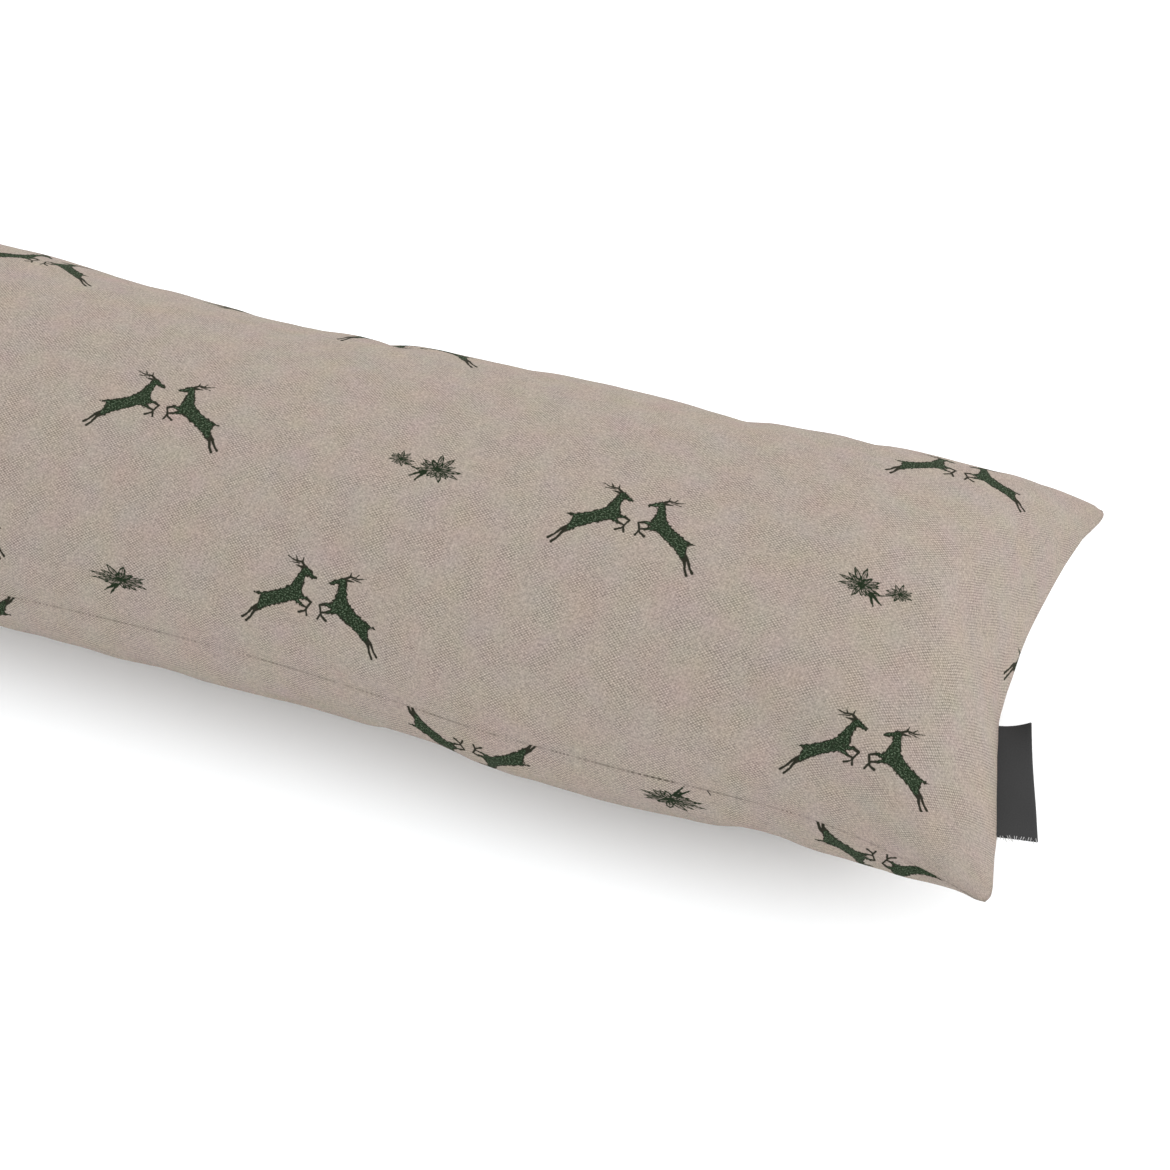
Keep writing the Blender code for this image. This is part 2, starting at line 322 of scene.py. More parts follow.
# The sewn and stuffed cloth pulls the print about. Round a place on a panel, and fading out over
# the distances long and wide, the panel shows the print of the cloth so much further on.
UPPER = 1
LOWER = -1
Pull = namedtuple("Pull", "panel along across long wide by_along by_across")
PRINT_PULLS = (
    Pull(UPPER, along=0.145, across=0.045, long=0.150, wide=0.034, by_along=0.0130, by_across=0.0),
    Pull(UPPER, along=0.085, across=0.035, long=0.050, wide=0.030, by_along=0.0, by_across=0.0070),
    Pull(UPPER, along=0.145, across=-0.023, long=0.045, wide=0.025, by_along=0.0, by_across=0.0028),
    Pull(UPPER, along=0.285, across=-0.025, long=0.070, wide=0.035, by_along=-0.0016, by_across=0.0010),
    Pull(UPPER, along=0.217, across=-0.075, long=0.040, wide=0.020, by_along=0.0, by_across=0.0012),
    Pull(UPPER, along=0.095, across=-0.072, long=0.030, wide=0.030, by_along=-0.0018, by_across=0.0),
    Pull(UPPER, along=0.385, across=0.045, long=0.045, wide=0.035, by_along=0.0034, by_across=0.0030),
    Pull(UPPER, along=0.445, across=0.010, long=0.025, wide=0.030, by_along=-0.0060, by_across=-0.0156),
    Pull(UPPER, along=0.450, across=0.010, long=0.005, wide=0.014, by_along=-0.0035, by_across=0.0),
    Pull(UPPER, along=0.200, across=0.050, long=0.045, wide=0.011, by_along=0.0020, by_across=-0.0085),
    Pull(UPPER, along=0.078, across=0.040, long=0.028, wide=0.020, by_along=0.0062, by_across=-0.0036),
    Pull(UPPER, along=0.055, across=0.040, long=0.014, wide=0.020, by_along=0.0, by_across=0.0030),
    Pull(UPPER, along=0.384, across=-0.018, long=0.024, wide=0.022, by_along=0.0016, by_across=0.0),
    Pull(UPPER, along=0.398, across=-0.066, long=0.026, wide=0.022, by_along=0.0013, by_across=0.0009),
    Pull(UPPER, along=0.138, across=0.045, long=0.022, wide=0.025, by_along=0.0, by_across=-0.0120),
    Pull(LOWER, along=0.432, across=-0.098, long=0.026, wide=0.012, by_along=0.0, by_across=0.0068),
    Pull(LOWER, along=0.386, across=-0.088, long=0.010, wide=0.012, by_along=-0.0008, by_across=-0.0024),
)

panels = []
for side in (UPPER, LOWER):
    bpy.ops.object.select_all(action="DESELECT")
    bpy.ops.mesh.primitive_grid_add(x_subdivisions=ALONG_CELLS, y_subdivisions=ACROSS_CELLS, size=2)
    panel = bpy.context.object
    grid = read(panel.data.vertices, "co", 3)
    crowded = grid[:, 1] + SEAM_CROWDING * np.sin(pi * grid[:, 1]) / pi
    flat = np.stack([grid[:, 0] * PANEL_LENGTH / 2, crowded * PANEL_WIDTH / 2, 0 * crowded], axis=1)
    panel.data.attributes.new("flat", "FLOAT_VECTOR", "POINT").data.foreach_set("vector", flat.ravel())
    if side == UPPER:
        askew = np.maximum(0, flat[:, 0] - ASKEW_FROM) * ASKEW_SLOPE
        printed = np.stack([flat[:, 0], flat[:, 1] + askew], axis=1)
    else:
        from_front = flat[:, 1] + PANEL_WIDTH / 2
        printed = np.stack([LOWER_CUT_ALONG - flat[:, 0] * LOWER_SHARE_ALONG - from_front * LOWER_SLANT,
                            LOWER_CUT_ACROSS + from_front * LOWER_SHARE_ACROSS], axis=1)
    for pull in PRINT_PULLS:
        if pull.panel == side:
            away = ((flat[:, 0] - pull.along) / pull.long) ** 2
            away = away + ((flat[:, 1] - pull.across) / pull.wide) ** 2
            printed = printed + np.exp(-away)[:, None] * (pull.by_along, pull.by_across)
    corners = read(panel.data.loops, "vertex_index", 1).astype(int).ravel()
    weave_map = panel.data.uv_layers[0]
    weave_map.name = "weave"
    weave_map.data.foreach_set("uv", flat[corners, :2].ravel())
    print_map = panel.data.uv_layers.new(name="print")
    print_map.data.foreach_set("uv", printed[corners].ravel())
    panel.data.vertices.foreach_set("co", stuffed_panel(flat, side).ravel())
    if side == LOWER:
        panel.data.flip_normals()
    panels.append(panel)

cover = joined(panels)
cover.name = "cover"
cover.data.name = "cover"
SEWN_DISTANCE = 0.00005
bpy.ops.object.mode_set(mode="EDIT")
bpy.ops.mesh.select_all(action="SELECT")
bpy.ops.mesh.remove_doubles(threshold=SEWN_DISTANCE)
bpy.ops.object.mode_set(mode="OBJECT")

# The simulation starts from the stuffed form, in which the threads are stretched unevenly. The
# base mesh, which gives them their length, turns flat in the first frames, and the air inside
# keeps the volume.
FRAMES = 14
FLAT_BY_FRAME = 8
SUBSTEPS = 6
THREAD_MASS = 0.01
STRETCH_STIFFNESS = 30
PRESS_STIFFNESS = 10
SHEAR_STIFFNESS = 5
BEND_STIFFNESS = 0.5
DAMPING = 10
AIR_DAMPING = 2
VOLUME_HOLD = 100
SMOOTHING_PASSES = 14
SEAM_HOLD = 0.85            # share of the stuffed form that the seams keep
SEAM_HOLD_REACH = 0.012     # and how far in from the long seams and the end seams
END_HOLD_REACH = 0.035

start = read(cover.data.vertices, "co", 3)
flat = read(cover.data.attributes["flat"].data, "vector", 3)
measured = bmesh.new()
measured.from_mesh(cover.data)
stuffed_volume = measured.calc_volume(signed=True)
measured.free()
cover.shape_key_add(name="stuffed")
flat_key = cover.shape_key_add(name="flat")
flat_key.data.foreach_set("co", flat.ravel())
flat_key.value = 0
flat_key.keyframe_insert("value", frame=1)
flat_key.value = 1
flat_key.keyframe_insert("value", frame=FLAT_BY_FRAME)
settle = cover.modifiers.new("settle", "CLOTH")
settle.point_cache.frame_start = 1
settle.point_cache.frame_end = FRAMES
settle.collision_settings.use_collision = False
cloth = settle.settings
cloth.use_dynamic_mesh = True
cloth.quality = SUBSTEPS
cloth.mass = THREAD_MASS
cloth.tension_stiffness = STRETCH_STIFFNESS
cloth.compression_stiffness = PRESS_STIFFNESS
cloth.shear_stiffness = SHEAR_STIFFNESS
cloth.bending_stiffness = BEND_STIFFNESS
cloth.tension_damping = DAMPING
cloth.compression_damping = DAMPING
cloth.shear_damping = DAMPING
cloth.air_damping = AIR_DAMPING
cloth.effector_weights.gravity = 0
cloth.use_pressure = True
cloth.uniform_pressure_force = 0
cloth.use_pressure_volume = True
cloth.target_volume = stuffed_volume
cloth.pressure_factor = VOLUME_HOLD
for frame_number in range(1, FRAMES + 1):
    bpy.context.scene.frame_set(frame_number)
settled = read(cover.evaluated_get(bpy.context.evaluated_depsgraph_get()).data.vertices, "co", 3)
bpy.ops.object.modifier_remove(modifier="settle")
bpy.ops.object.shape_key_remove(all=True)

# Only the puckers are kept: the simulation's wider drift is smooth, and is undone. The
# seams, which are stiffer than the cloth, stay nearly where they were.
edges = read(cover.data.edges, "vertices", 2).astype(int)
drift = start - settled
uses = np.bincount(edges.ravel(), minlength=len(start))[:, None]
for _ in range(SMOOTHING_PASSES):
    total = np.zeros_like(drift)
    np.add.at(total, edges[:, 0], drift[edges[:, 1]])
    np.add.at(total, edges[:, 1], drift[edges[:, 0]])
    drift = (drift + total / uses) / 2
from_end = (PANEL_LENGTH / 2 - np.abs(flat[:, :1])) * SEAM_HOLD_REACH / END_HOLD_REACH
from_seam = np.minimum(from_end, PANEL_WIDTH / 2 - np.abs(flat[:, 1:2]))
hold = SEAM_HOLD * np.exp(-(from_seam / SEAM_HOLD_REACH) ** 2)
puckered = (settled + drift) * (1 - hold) + start * hold
puckered[:, 2] = np.maximum(puckered[:, 2], 0)
cover.data.vertices.foreach_set("co", puckered.ravel())
cover.data.update()

END_SEAM_CREASE = 0.7       # the end seams stay sharper than the long ones as the mesh is smoothed
LONG_SEAM_CREASE = 0.2
flat = read(cover.data.attributes["flat"].data, "vector", 3)
edges = read(cover.data.edges, "vertices", 2).astype(int)
on_end = (np.abs(flat[:, 0]) > PANEL_LENGTH / 2 - SEWN_DISTANCE)[edges].all(axis=1)
on_long = (np.abs(flat[:, 1]) > PANEL_WIDTH / 2 - SEWN_DISTANCE)[edges].all(axis=1)
crease = on_end * END_SEAM_CREASE + on_long * LONG_SEAM_CREASE
cover.data.attributes.new("crease_edge", "FLOAT", "EDGE").data.foreach_set("value", crease)

bpy.ops.object.select_all(action="DESELECT")
cover.select_set(True)
bpy.context.view_layer.objects.active = cover
smooth = cover.modifiers.new("smooth", "SUBSURF")
smooth.levels = 1
smooth.render_levels = 1
bpy.ops.object.modifier_apply(modifier="smooth")
bpy.ops.object.shade_smooth()

# The corners are turned round, not sharp, and they spread a little sideways.
CORNER_ROUNDING = 0.0048
CORNER_SPREAD = 0.0024
CORNER_SPREAD_REACH = 0.030 # from the corner tips, along the bolster
placed = read(cover.data.vertices, "co", 3)
flat = read(cover.data.attributes["flat"].data, "vector", 3)
spread = np.clip(1 - (LENGTH / 2 - np.abs(placed[:, 0])) / CORNER_SPREAD_REACH, 0, 1) ** 2
placed[:, 1] *= 1 + spread * CORNER_SPREAD / (CORNER_SPAN / 2)
for end in (-1, 1):
    for edge in (-1, 1):
        tip = placed[np.argmax(end * flat[:, 0] + edge * flat[:, 1])].copy()
        near_end = np.clip(1 - (tip[0] - placed[:, 0]) * end / CORNER_ROUNDING, 0, 1)
        near_edge = np.clip(1 - (tip[1] - placed[:, 1]) * edge / CORNER_ROUNDING, 0, 1)
        placed[:, 0] -= end * near_end * (1 - np.sqrt(1 - near_edge ** 2 / 2)) * CORNER_ROUNDING
        placed[:, 1] -= edge * near_edge * (1 - np.sqrt(1 - near_end ** 2 / 2)) * CORNER_ROUNDING
cover.data.vertices.foreach_set("co", placed.ravel())
cover.data.update()


class Thread:
    """A number or vector that varies over a surface. Python's operators on it add Math nodes."""

    def __init__(self, finish, socket):
        self.finish = finish
        self.socket = socket

    def math(self, operation, *others, clamp=False):
        settings = {"operation": operation, "use_clamp": clamp}
        return self.finish.node("ShaderNodeMath", settings, (self, *others))

    def vector(self, operation, *others, output=0):
        return self.finish.node("ShaderNodeVectorMath", {"operation": operation}, (self, *others), output)

    def __add__(self, other):
        return self.math("ADD", other)

    __radd__ = __add__

    def __sub__(self, other):
        return self.math("SUBTRACT", other)

    def __rsub__(self, other):
        return self.finish.node("ShaderNodeMath", {"operation": "SUBTRACT"}, (other, self))

    def __mul__(self, other):
        return self.math("MULTIPLY", other)

    __rmul__ = __mul__

    def __truediv__(self, other):
        return self.math("DIVIDE", other)

    def __mod__(self, other):
        return self.math("FLOORED_MODULO", other)

    def __abs__(self):
        return self.math("ABSOLUTE")

    def __gt__(self, other):
        return self.math("GREATER_THAN", other)

    def parts(self):
        """The first two numbers of a vector."""
        first = self.finish.node("ShaderNodeSeparateXYZ", None, (self,))
        return first, Thread(self.finish, first.socket.node.outputs[1])

    def floor(self):
        return self.math("FLOOR")

    def sine(self):
        return self.math("SINE")

    def least(self, other):
        return self.math("MINIMUM", other)

    def most(self, other):
        return self.math("MAXIMUM", other)

    def ramp(self, low, high):
        """0 below low, 1 above high, and even in between."""
        return self.finish.node("ShaderNodeMapRange", {"clamp": True},
                                {"Value": self, "From Min": low, "From Max": high})


class Finish:
    """A material of a Principled BSDF and the nodes that vary it."""

    def __init__(self, name):
        self.material = bpy.data.materials.new(name)
        self.material.use_nodes = True
        self.tree = self.material.node_tree
        self.shader = self.tree.nodes["Principled BSDF"]

    def node(self, kind, settings=None, sockets=(), output=0):
        """One node: its settings, then the values or links of its sockets. Gives an output."""
        made = self.tree.nodes.new(kind)
        for name, value in (settings or {}).items():
            setattr(made, name, value)
        pairs = sockets.items() if isinstance(sockets, dict) else enumerate(sockets)
        for key, value in pairs:
            self.plug(value, made.inputs[key])
        return Thread(self, made.outputs[output])

    def plug(self, value, socket):
        if isinstance(value, Thread):
            self.tree.links.new(value.socket, socket)
        else:
            socket.default_value = value

    def set(self, **sockets):
        """The shader's own sockets, by name with _ for a space."""
        for name, value in sockets.items():
            self.plug(value, self.shader.inputs[name.replace("_", " ")])

    def noise(self, place, scale, detail=1.0, roughness=0.5, output=0):
        """Soft random values about 0.5, or colours where output is 1."""
        return self.node("ShaderNodeTexNoise", {"noise_dimensions": "2D"}, {
            "Vector": place, "Scale": scale, "Detail": detail, "Roughness": roughness}, output)

    def blend(self, share, first, second, kind="MIX"):
        """A colour between two others."""
        made = self.tree.nodes.new("ShaderNodeMix")
        made.data_type = "RGBA"
        made.blend_type = kind
        self.plug(share, made.inputs["Factor"])
        self.plug(first, made.inputs[6])
        self.plug(second, made.inputs[7])
        return Thread(self, made.outputs[2])

    def bump(self, height, strength, distance, under=None):
        sockets = {"Height": height, "Strength": strength, "Distance": distance}
        if under is not None:
            sockets["Normal"] = under
        return self.node("ShaderNodeBump", None, sockets)

    def dress(self, piece):
        """Give a piece this material alone."""
        piece.data.materials.clear()
        piece.data.materials.append(self.material)


# The cloth, a half panama: each weft yarn passes over two warp yarns and under the next two. The
# warp is light and the weft darker, both of unevenly dyed fibre, and in soft bands they are
# beaten closer together, so that the weave shows less.
PAIR_PITCH = 0.00066        # of the warp yarns, two by two
WEFT_PITCH = 0.00050
WANDER = 1.3                # how many pitches the yarns wander by
WANDER_SCALE = 95.0         # the scales are of noise, for each metre
CRIMP = 0.5                 # heights are shares of a yarn's thickness
WARP_ROUNDNESS = 0.30
WEFT_ROUNDNESS = 0.45
YARN_EDGE = 0.12
GAP_FROM = 0.02
GAP_TO = -0.18
WEAVE_RELIEF = 0.00022
BAND_SCALE = 120.0
FAINTEST_WEAVE = 0.20       # how much of the weave shows in a band, and how much more elsewhere
WEAVE_RANGE = 0.85
WARP_COLOUR = (0.352, 0.299, 0.259, 1.0)
WEFT_COLOUR = (0.213, 0.179, 0.154, 1.0)
# painted shade in the gaps between the yarns
GAP_SHADE_COLOUR = (0.120, 0.098, 0.081, 1.0)
WARP_DYE_RUN = 500.0        # changes of the dye along a metre of yarn
WEFT_DYE_RUN = 400.0
WARP_DYES = ((0.88, 0.88, 0.88, 1.0), (1.12, 1.12, 1.11, 1.0))
WEFT_DYES = ((0.80, 0.80, 0.80, 1.0), (1.20, 1.20, 1.18, 1.0))
FLECK_SCALE = 1200.0
FLECK_TONES = ((0.84, 0.84, 0.84, 1.0), (1.16, 1.16, 1.16, 1.0))
BLOTCH_SCALE = 70.0
BLOTCH_SHARE = 0.08
CLOTH_ROUGHNESS = 0.92
FUZZ = 0.04                 # loose fibres, which catch the light where the cloth turns away
FUZZ_ROUGHNESS = 0.45
FUZZ_COLOUR = (0.860, 0.790, 0.720, 1.0)

panama = Finish("printed half panama")
cloth_place = panama.node("ShaderNodeUVMap", {"uv_map": "weave"})
along, across = cloth_place.parts()
wander = panama.noise(cloth_place, WANDER_SCALE) * WANDER
pair_count = along / PAIR_PITCH + wander
weft_count = across / WEFT_PITCH - wander
warp_side = abs((pair_count * 2) % 1.0 * 2 - 1)
weft_side = abs(weft_count % 1.0 * 2 - 1)
weft_lift = (pair_count * pi).sine() * (1 - weft_count.floor() % 2.0 * 2)
warp_lift = (weft_count * pi).sine() * (pair_count.floor() % 2.0 * 2 - 1)
warp_height = warp_lift * CRIMP - warp_side * warp_side * WARP_ROUNDNESS
weft_height = weft_lift * CRIMP - weft_side * weft_side * WEFT_ROUNDNESS
yarn_height = warp_height.most(weft_height)
bands = panama.noise(cloth_place, BAND_SCALE)
weave_shows = bands.ramp(0.32, 0.66) * WEAVE_RANGE + FAINTEST_WEAVE
warp_share = ((warp_height - weft_height).ramp(-YARN_EDGE, YARN_EDGE) - 0.5) * weave_shows + 0.5
# Where the yarns lie lowest, between their neighbours, the cloth is darkened: painted shade in the weave's
# gaps.
gap_shade = yarn_height.ramp(GAP_FROM, GAP_TO) * weave_shows

warp_dye = panama.noise(cloth_place.vector("MULTIPLY", (2 / PAIR_PITCH, WARP_DYE_RUN, 0.0)), 1.0)
weft_dye = panama.noise(cloth_place.vector("MULTIPLY", (WEFT_DYE_RUN, 1 / WEFT_PITCH, 0.0)), 1.0)
blotches = panama.noise(cloth_place, BLOTCH_SCALE, detail=2.0, roughness=0.55, output=1)
flecks = panama.noise(cloth_place, FLECK_SCALE)
warp_tone = panama.blend(warp_dye.ramp(0.3, 0.7), *WARP_DYES)
weft_tone = panama.blend(weft_dye.ramp(0.3, 0.7), *WEFT_DYES)
warp_yarn = panama.blend(1.0, WARP_COLOUR, warp_tone, "MULTIPLY")
weft_yarn = panama.blend(1.0, WEFT_COLOUR, weft_tone, "MULTIPLY")
yarn_colour = panama.blend(warp_share, weft_yarn, warp_yarn)
yarn_colour = panama.blend(gap_shade, yarn_colour, GAP_SHADE_COLOUR)
fleck_tone = panama.blend(flecks.ramp(0.25, 0.75), *FLECK_TONES)
yarn_colour = panama.blend(1.0, yarn_colour, fleck_tone, "MULTIPLY")
yarn_colour = panama.blend(BLOTCH_SHARE, yarn_colour, blotches, "SOFT_LIGHT")

# The print, in millimetres on the cloth: rows of leaping stags that face each other in pairs,
# with edelweiss between them. Every second row is moved along. One stag and one flower are
# drawn, and the places on the cloth are folded onto them.
REPEAT_ALONG = 315.2
REPEAT_UP = 119.5
FIRST_PAIR_ALONG = 302.0    # the middle of a pair in an even row
ODD_ROW_UP = -85.0          # the hooves of an odd row
EVEN_ROW_UP = 51.8          # the even row's hooves above the odd row's
BELOW_HOOVES = 10.0         # a row's strip of cloth begins this far below the hooves
LOWEST_OF_EVEN_ROW = 3.0    # and the even row's a little lower still
ODD_FLOWER_ALONG = -0.4825 * REPEAT_ALONG       # from the first pair
ODD_PAIR_FROM_FLOWER = 0.2125 * REPEAT_ALONG    # to both sides
EVEN_FLOWER_LEFT = 0.204 * REPEAT_ALONG         # from the pair on its right, and this much more
EVEN_FLOWER_MORE = 0.034 * REPEAT_ALONG         # from the one on its left
EVEN_FLOWER_UP = 14.5       # above the row's hooves
ODD_FLOWER_UP = 2.6
THIRD_FLOWER_ALONG = 0.5    # in every other odd row the flower is moved along and up
THIRD_FLOWER_UP = 7.3
FLOWER_FLATNESS = 1.50
ODD_FLOWER_WIDTH = 1.45
ODD_FLOWER_FLATNESS = 1.25
ODD_LEAVES_OUT = 2.5
SMALL_FLOWER_AWAY = 12.3
SMALL_FLOWER_SCALE = 0.6
SMALL_FLOWER_FROM = 7.9
GREEN_INK = (0.0110, 0.0190, 0.0095, 1.0)
PALE_INK = (0.0900, 0.1250, 0.0800, 1.0)
BLACK_INK = (0.0180, 0.0185, 0.0125, 1.0)
EDGE_BLUR = 0.13            # the ink's edge creeps along the yarns
LEAST_TAKEN_UP = 0.93       # the least share of the ink that the cloth takes up
RAGGED_SCALE = 900.0
PEN_UNEVENNESS = 0.55
PEN_LINE = 0.25             # half the width of the pen's lines
INNER_LINE = 0.24
VEIN_LINE = 0.13
HEART_REACH = 0.9
HEART_LINE = 0.45
HEART_SHADE = 0.45          # share of ink inside the middle petals, and inside the outer ones
PETAL_SHADE = 0.18
TUFTS = 0.55                # how far the coats' tufts stand out, from how far in
TUFTS_FROM = 0.25
LIMB_UNEVENNESS = 0.6
LIMB_THINNING = 0.04
COAT_EDGE = -0.40           # further in than this the coat is green, and then it is hatched
HATCHED_FROM = -0.50
HATCHING_SCALE = 1500.0
HATCHING_FLATNESS = 1.5
HATCHING_SHARE = 0.85
STAG_ROUNDING = 0.8         # how softly the strokes of a body run together

Stroke = namedtuple("Stroke", "out up end_out end_up width end_width")
STAG_BODY = (
    Stroke(out=2.7, up=21.3, end_out=6.2, end_up=22.8, width=0.55, end_width=1.25),     # muzzle
    Stroke(out=6.5, up=22.5, end_out=7.4, end_up=18.6, width=1.25, end_width=1.70),     # neck
    Stroke(out=7.4, up=18.6, end_out=7.7, end_up=15.4, width=1.70, end_width=2.70),     # chest
    Stroke(out=7.7, up=15.4, end_out=12.0, end_up=12.3, width=2.70, end_width=2.25),    # ribs
    Stroke(out=12.0, up=12.3, end_out=16.4, end_up=9.8, width=2.25, end_width=2.55),    # flank
    Stroke(out=16.5, up=9.5, end_out=18.4, end_up=6.2, width=2.30, end_width=1.15),     # thigh
    Stroke(out=17.9, up=11.0, end_out=20.9, end_up=10.8, width=0.80, end_width=0.20),   # tail
    Stroke(out=6.7, up=14.4, end_out=3.3, end_up=14.7, width=1.30, end_width=0.60),     # upper foreleg
    Stroke(out=7.1, up=13.4, end_out=4.4, end_up=12.2, width=1.10, end_width=0.55),     # the other
)
STAG_LIMBS = (
    Stroke(out=7.2, up=23.4, end_out=9.9, end_up=23.6, width=0.60, end_width=0.20),     # ear
    Stroke(out=3.3, up=14.7, end_out=1.5, end_up=13.9, width=0.56, end_width=0.46),     # knee
    Stroke(out=1.5, up=13.9, end_out=2.9, end_up=10.6, width=0.44, end_width=0.38),
    Stroke(out=2.9, up=10.6, end_out=4.7, end_up=9.5, width=0.38, end_width=0.50),      # hoof
    Stroke(out=4.4, up=12.2, end_out=2.7, end_up=11.8, width=0.50, end_width=0.40),
    Stroke(out=2.7, up=11.8, end_out=1.9, end_up=9.3, width=0.40, end_width=0.42),
    Stroke(out=18.4, up=6.2, end_out=19.7, end_up=4.6, width=1.05, end_width=0.66),     # hock
    Stroke(out=19.7, up=4.6, end_out=20.7, end_up=2.1, width=0.60, end_width=0.42),
    Stroke(out=20.7, up=2.1, end_out=21.9, end_up=0.4, width=0.42, end_width=0.52),     # hoof
    Stroke(out=18.4, up=6.8, end_out=20.6, end_up=5.1, width=1.00, end_width=0.62),
    Stroke(out=20.6, up=5.1, end_out=22.0, end_up=2.9, width=0.56, end_width=0.40),
    Stroke(out=22.0, up=2.9, end_out=23.4, end_up=1.5, width=0.40, end_width=0.50),
    Stroke(out=6.8, up=23.7, end_out=8.4, end_up=24.9, width=0.54, end_width=0.42),     # antler
    Stroke(out=8.4, up=24.9, end_out=10.9, end_up=24.8, width=0.40, end_width=0.30),
    Stroke(out=10.9, up=24.8, end_out=13.4, end_up=25.6, width=0.28, end_width=0.16),
    Stroke(out=8.2, up=24.8, end_out=8.3, end_up=26.2, width=0.38, end_width=0.20),     # tines
    Stroke(out=10.0, up=24.9, end_out=10.8, end_up=26.2, width=0.32, end_width=0.20),
    Stroke(out=9.0, up=24.4, end_out=12.4, end_up=24.0, width=0.26, end_width=0.16),    # the other
)
FLOWER_LEAVES = (
    Stroke(out=3.5, up=-2.2, end_out=5.6, end_up=-6.0, width=0.70, end_width=0.18),
    Stroke(out=4.0, up=-2.0, end_out=7.8, end_up=-4.9, width=0.65, end_width=0.18),
    Stroke(out=4.6, up=-2.4, end_out=10.6, end_up=-0.9, width=0.24, end_width=0.20),
)

# The rings of an edelweiss: how many petals, how long they are at least and how much more, half
# their width, a number that turns and shuffles them, and how far inside their outline the pen runs.
Ring = namedtuple("Ring", "count length uneven width seed inset")
OUTER_RING = Ring(count=13, length=5.4, uneven=3.6, width=0.90, seed=0.3, inset=0.18)
MIDDLE_RING = Ring(count=9, length=3.9, uneven=1.9, width=0.85, seed=8.1, inset=0.14)
INNER_RING = Ring(count=6, length=2.4, uneven=1.0, width=0.75, seed=4.7, inset=0.10)


def drawn(place, strokes, rounding=0.0):
    """How far a place on the cloth is from a figure of tapered strokes, less than 0 inside it."""
    nearest = None
    for stroke in strokes:
        start = (stroke.out, stroke.up, 0.0)
        run = Vector((stroke.end_out - stroke.out, stroke.end_up - stroke.up, 0.0))
        from_start = place.vector("SUBTRACT", start)
        share = from_start.vector("DOT_PRODUCT", run, output=1)
        share = share.math("MULTIPLY", 1 / run.length_squared, clamp=True)
        nearest_spot = panama.node("ShaderNodeVectorMath", {"operation": "SCALE"}, {0: run, "Scale": share})
        off_line = from_start.vector("DISTANCE", nearest_spot, output=1)
        width = share.math("MULTIPLY_ADD", stroke.end_width - stroke.width, stroke.width)
        distance = off_line - width
        if nearest is None:
            nearest = distance
        elif rounding:
            nearest = nearest.math("SMOOTH_MIN", distance, rounding)
        else:
            nearest = nearest.least(distance)
    return nearest


def petals(reach, turn, ring):
    """How far a place is from a ring of uneven petals, less than 0 inside, and from their veins."""
    counted = turn * (ring.count / (2 * pi)) + ring.seed
    number = counted.floor()
    chance = panama.node("ShaderNodeTexWhiteNoise", {"noise_dimensions": "1D"}, {"W": number + ring.seed})
    petal_length = chance * ring.uneven + ring.length
    tip_share = reach.math("DIVIDE", petal_length, clamp=True)
    sideways = abs((counted - number - 0.5) * (2 * pi / ring.count)) * reach
    half = tip_share * (1 - tip_share) * (4 * ring.width)
    return (sideways - half).most(reach - petal_length), sideways


print_place = panama.node("ShaderNodeUVMap", {"uv_map": "print"})
print_along, print_across = print_place.parts()
from_lowest = print_across * 1000.0 - (ODD_ROW_UP - BELOW_HOOVES)
repeats_up = (from_lowest / REPEAT_UP).floor()
place_up = from_lowest - repeats_up * REPEAT_UP - BELOW_HOOVES
place_along = print_along * 1000.0 - FIRST_PAIR_ALONG
even_row = place_up > EVEN_ROW_UP - BELOW_HOOVES - LOWEST_OF_EVEN_ROW
row_up = place_up - even_row * EVEN_ROW_UP
half_repeat = REPEAT_ALONG / 2
from_odd_flower = (place_along - ODD_FLOWER_ALONG + half_repeat) % REPEAT_ALONG - half_repeat
even_pair = (place_along + half_repeat / 2) % half_repeat - half_repeat / 2
odd_pair = abs(from_odd_flower) - ODD_PAIR_FROM_FLOWER
pair_out = abs(odd_pair + even_row * (even_pair - odd_pair))
stag_place = panama.node("ShaderNodeCombineXYZ", None, (pair_out, row_up))
stag_body = drawn(stag_place, STAG_BODY, STAG_ROUNDING)
stag_limbs = drawn(stag_place, STAG_LIMBS)

from_pair = (place_along + half_repeat) % REPEAT_ALONG - half_repeat
from_even_flower = abs(from_pair) - EVEN_FLOWER_LEFT - EVEN_FLOWER_MORE * (from_pair > 0)
small = (from_even_flower > SMALL_FLOWER_FROM) * even_row
odd_row = 1 - even_row
third_row = odd_row * (repeats_up % 2.0)
moved_along = from_odd_flower - third_row * THIRD_FLOWER_ALONG
flower_out = moved_along + even_row * (from_even_flower - moved_along)
flower_up = row_up - ODD_FLOWER_UP - third_row * THIRD_FLOWER_UP - even_row * (EVEN_FLOWER_UP - ODD_FLOWER_UP)
leaf_out = flower_out * (1 - odd_row * 2) + odd_row * ODD_LEAVES_OUT
leaf_place = panama.node("ShaderNodeCombineXYZ", None, (leaf_out, flower_up))
leaves = drawn(leaf_place, FLOWER_LEAVES)
flower_scale = 1 - small * (1 - SMALL_FLOWER_SCALE)
bloom_out = (flower_out - small * SMALL_FLOWER_AWAY) / (flower_scale + odd_row * (ODD_FLOWER_WIDTH - 1))
bloom_up = flower_up * FLOWER_FLATNESS / (flower_scale - odd_row * (1 - 1 / ODD_FLOWER_FLATNESS))
reach = (bloom_out * bloom_out + bloom_up * bloom_up).math("SQRT")
turn = bloom_up.math("ARCTAN2", bloom_out)
outer_petals, vein = petals(reach, turn, OUTER_RING)
middle_petals = petals(reach, turn, MIDDLE_RING)[0]
inner_petals = petals(reach, turn, INNER_RING)[0]


def inked(distance, low=0.0):
    """1 inside a figure and 0 outside, with the ink's soft edge."""
    return (distance - low).ramp(EDGE_BLUR, -EDGE_BLUR)


